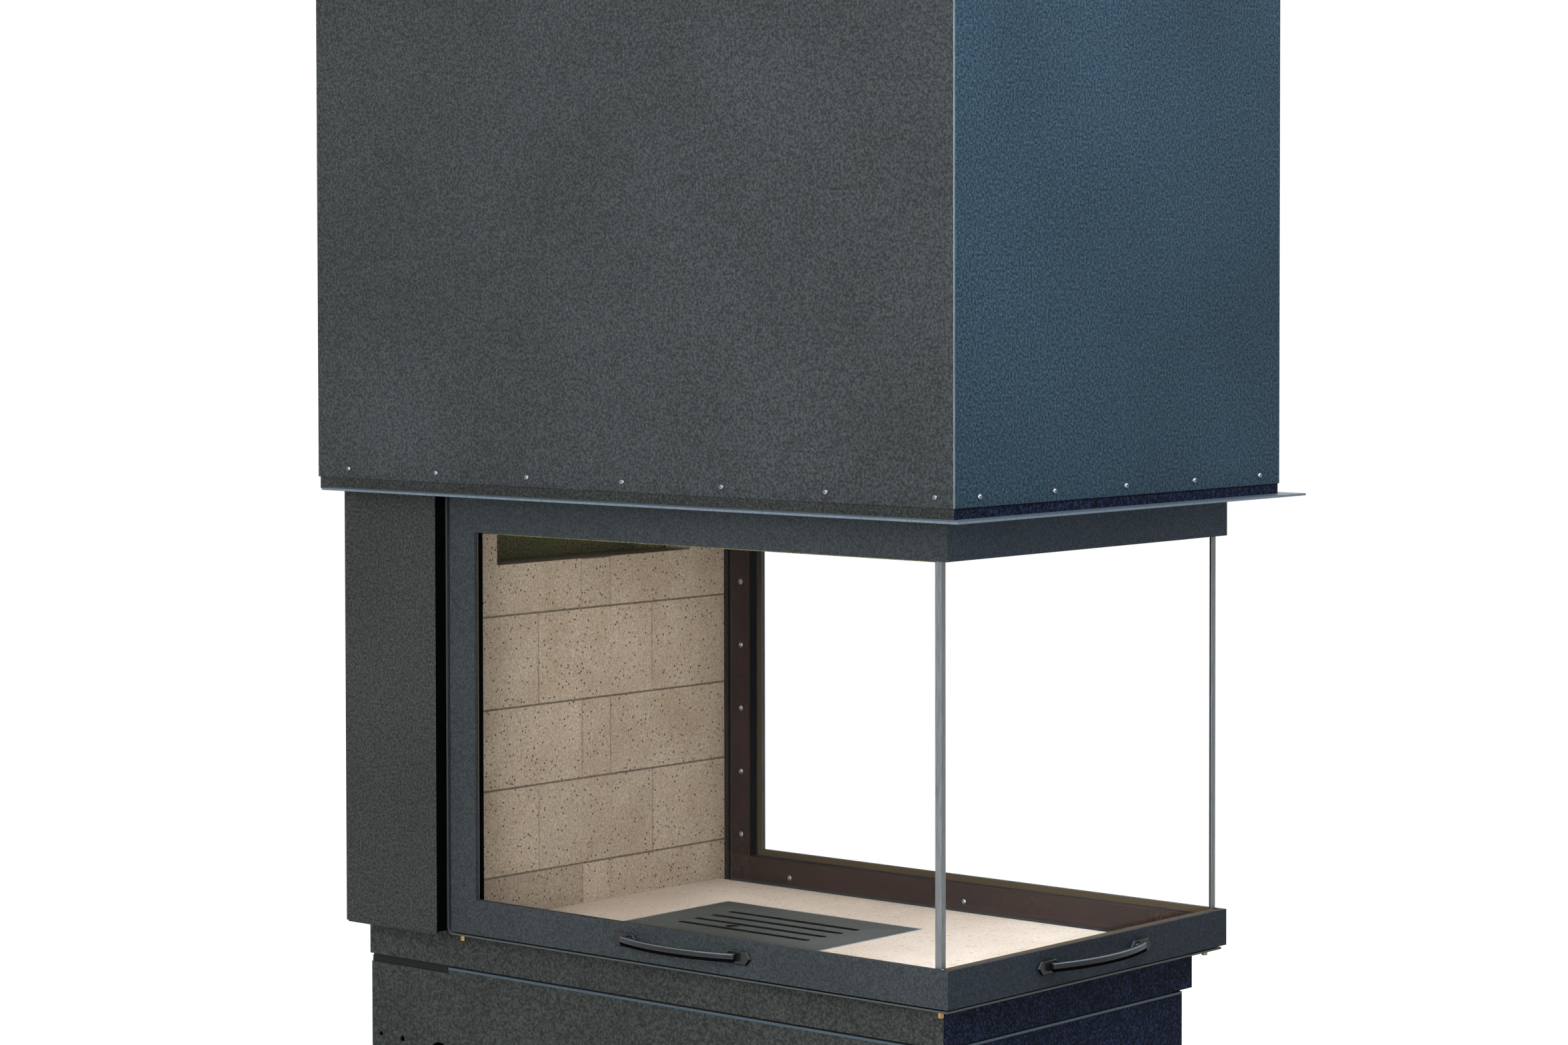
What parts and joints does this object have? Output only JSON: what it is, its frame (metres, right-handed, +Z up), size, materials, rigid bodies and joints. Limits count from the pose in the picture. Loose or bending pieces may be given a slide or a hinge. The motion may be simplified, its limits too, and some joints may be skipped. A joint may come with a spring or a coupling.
{
  "type": "three-sided fireplace",
  "caption": "Built-in fireplace glazed on two long sides and one short end, with a lift-up door, brick back wall, hood and flue spigot.",
  "frame": {"origin": "on the floor, in the middle of the overall plan", "axes": "+X from the brick wall to the glazed short end, +Y to the far long side, +Z up"},
  "size_m": [1.194, 0.778, 1.811],
  "materials": {
    "hood_coat": "fine textured powder coat",
    "door_coat": "slate grey stove paint",
    "base_coat": "charcoal stove paint",
    "dark_coat": "matt black stove paint",
    "handle_black": "glossy black enamel",
    "bare_steel": "bright zinc plated",
    "edge_steel": "grey steel",
    "firebrick": "beige cast fireclay with pits",
    "hearth_clay": "cream fireclay",
    "board": "pale insulating board",
    "iron": "blacked cast iron",
    "brass": "bright brass",
    "pane": "clear ceramic glass",
    "gasket": "golden glass-fibre tape",
    "rope": "grey glass-fibre rope",
    "wire": "stranded steel cable"
  },
  "bodies": {
    "root": {"levelling_feet": "bare_steel", "base_plate": "dark_coat", "base_panels": "base_coat", "base_frame_tubes": "dark_coat", "base_band": "base_coat", "hearth_deck": "edge_steel", "door_stops": "brass", "air_pipe": "bare_steel", "hearth_tray": "dark_coat", "hearth_slab": "hearth_clay", "grate_frame": "iron", "ash_pan": "dark_coat", "long_joint_bricks": "firebrick", "short_joint_bricks": "firebrick", "smoke_opening_bricks": "firebrick", "back_plate": "dark_coat", "smoke_duct": "dark_coat", "smoke_dome": "dark_coat", "baffle_boards": "board", "flue_collar": "dark_coat", "dome_hangers": "bare_steel", "dome_seal": "rope", "side_casings": "base_coat", "rear_casing": "base_coat", "seal_edge": "edge_steel", "mounting_flange": "edge_steel", "hood_side_panels": "hood_coat", "hood_end_panels": "hood_coat", "hood_top": "hood_coat", "hood_posts": "dark_coat", "hood_screws": "bare_steel", "weight_chutes": "dark_coat", "guide_rods": "bare_steel", "shaft_brackets": "dark_coat", "cable_runs": "wire", "door_cables": "wire", "weight_cables": "wire"},
    "door": {"door_bottom_rails": "door_coat", "door_top_rails": "door_coat", "door_stiles": "door_coat", "side_glass": "pane", "end_glass": "pane", "corner_strips": "edge_steel", "glass_gaskets": "gasket", "glass_retainers": "dark_coat", "retainer_screws": "bare_steel", "door_handles": "handle_black", "door_hangers": "dark_coat", "guide_blocks": "bare_steel", "cable_eyes": "bare_steel"},
    "counterweight_near": {"counterweight_near": "iron"},
    "counterweight_far": {"counterweight_far": "iron"},
    "front_pulley_shaft": {"front_shaft": "bare_steel", "front_pulleys": "iron"},
    "rear_pulley_shaft": {"rear_shaft": "bare_steel", "rear_pulleys": "iron"},
    "grate": {"grate": "iron"},
    "air_flap": {"air_flap": "bare_steel", "flap_spindle": "bare_steel"}
  },
  "joints": [
    {"name": "door_lift", "type": "slide", "parent": "root", "child": "door", "axis": [0, 0, 1], "range_m": [0, 0.54], "deforming": ["door_cables"]},
    {"name": "near_weight_drop", "type": "slide", "parent": "root", "child": "counterweight_near", "axis": [0, 0, 1], "range_m": [-0.54, 0], "deforming": ["weight_cables"]},
    {"name": "far_weight_drop", "type": "slide", "parent": "root", "child": "counterweight_far", "axis": [0, 0, 1], "range_m": [-0.54, 0]},
    {"name": "front_shaft_turn", "type": "hinge", "parent": "root", "child": "front_pulley_shaft", "pos_m": [0.141, 0, 1.67], "axis": [0, 1, 0], "continuous": true},
    {"name": "rear_shaft_turn", "type": "hinge", "parent": "root", "child": "rear_pulley_shaft", "pos_m": [-0.493, 0, 1.67], "axis": [0, 1, 0], "continuous": true},
    {"name": "grate_lift", "type": "slide", "parent": "root", "child": "grate", "axis": [0, 0, 1], "range_m": [0, 0.25]},
    {"name": "air_flap_turn", "type": "hinge", "parent": "root", "child": "air_flap", "pos_m": [-0.1, 0, 0.1], "axis": [0, -1, 0], "range_deg": [0, 90]}
  ],
  "couplings": [
    {"joint": "near_weight_drop", "follows": "door_lift", "ratio": -1},
    {"joint": "far_weight_drop", "follows": "door_lift", "ratio": -1},
    {"joint": "front_shaft_turn", "follows": "door_lift", "rad_per_m": -25},
    {"joint": "rear_shaft_turn", "follows": "door_lift", "rad_per_m": -25}
  ]
}
